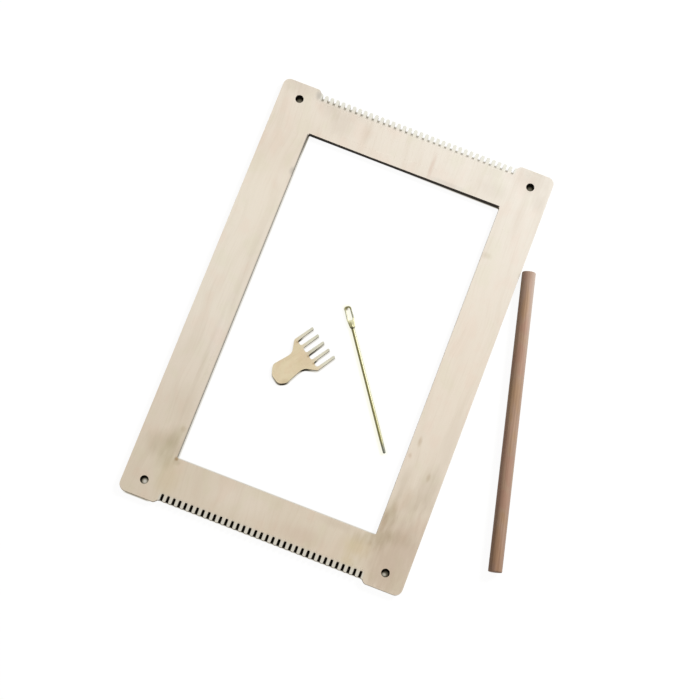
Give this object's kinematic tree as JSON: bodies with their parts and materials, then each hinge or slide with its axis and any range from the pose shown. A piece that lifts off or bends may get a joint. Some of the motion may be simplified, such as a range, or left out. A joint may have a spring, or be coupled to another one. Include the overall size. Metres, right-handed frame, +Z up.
{
  "type": "weaving frame",
  "caption": "Flat plywood hand loom with toothed short edges and a window, with its beater comb, long-eyed needle and stick lying beside it.",
  "frame": {"origin": "on the surface that the set lies on, under the middle of the footprint of all four pieces", "axes": "+Y along the board's long side, +X towards the side where the stick lies, +Z up from the surface"},
  "size_m": [0.3348, 0.4, 0.0123],
  "materials": {
    "pale_plywood": "bare sanded face veneer, walls browned by the laser",
    "comb_plywood": "bare sanded face veneer, walls browned by the laser",
    "needle_metal": "pale gold plating, polished",
    "dark_dowel": "bare dowel, satin"
  },
  "bodies": {
    "root": {"frame_board": "pale_plywood", "beater_comb": "comb_plywood", "weaving_needle": "needle_metal", "shuttle_stick": "dark_dowel"}
  },
  "joints": []
}
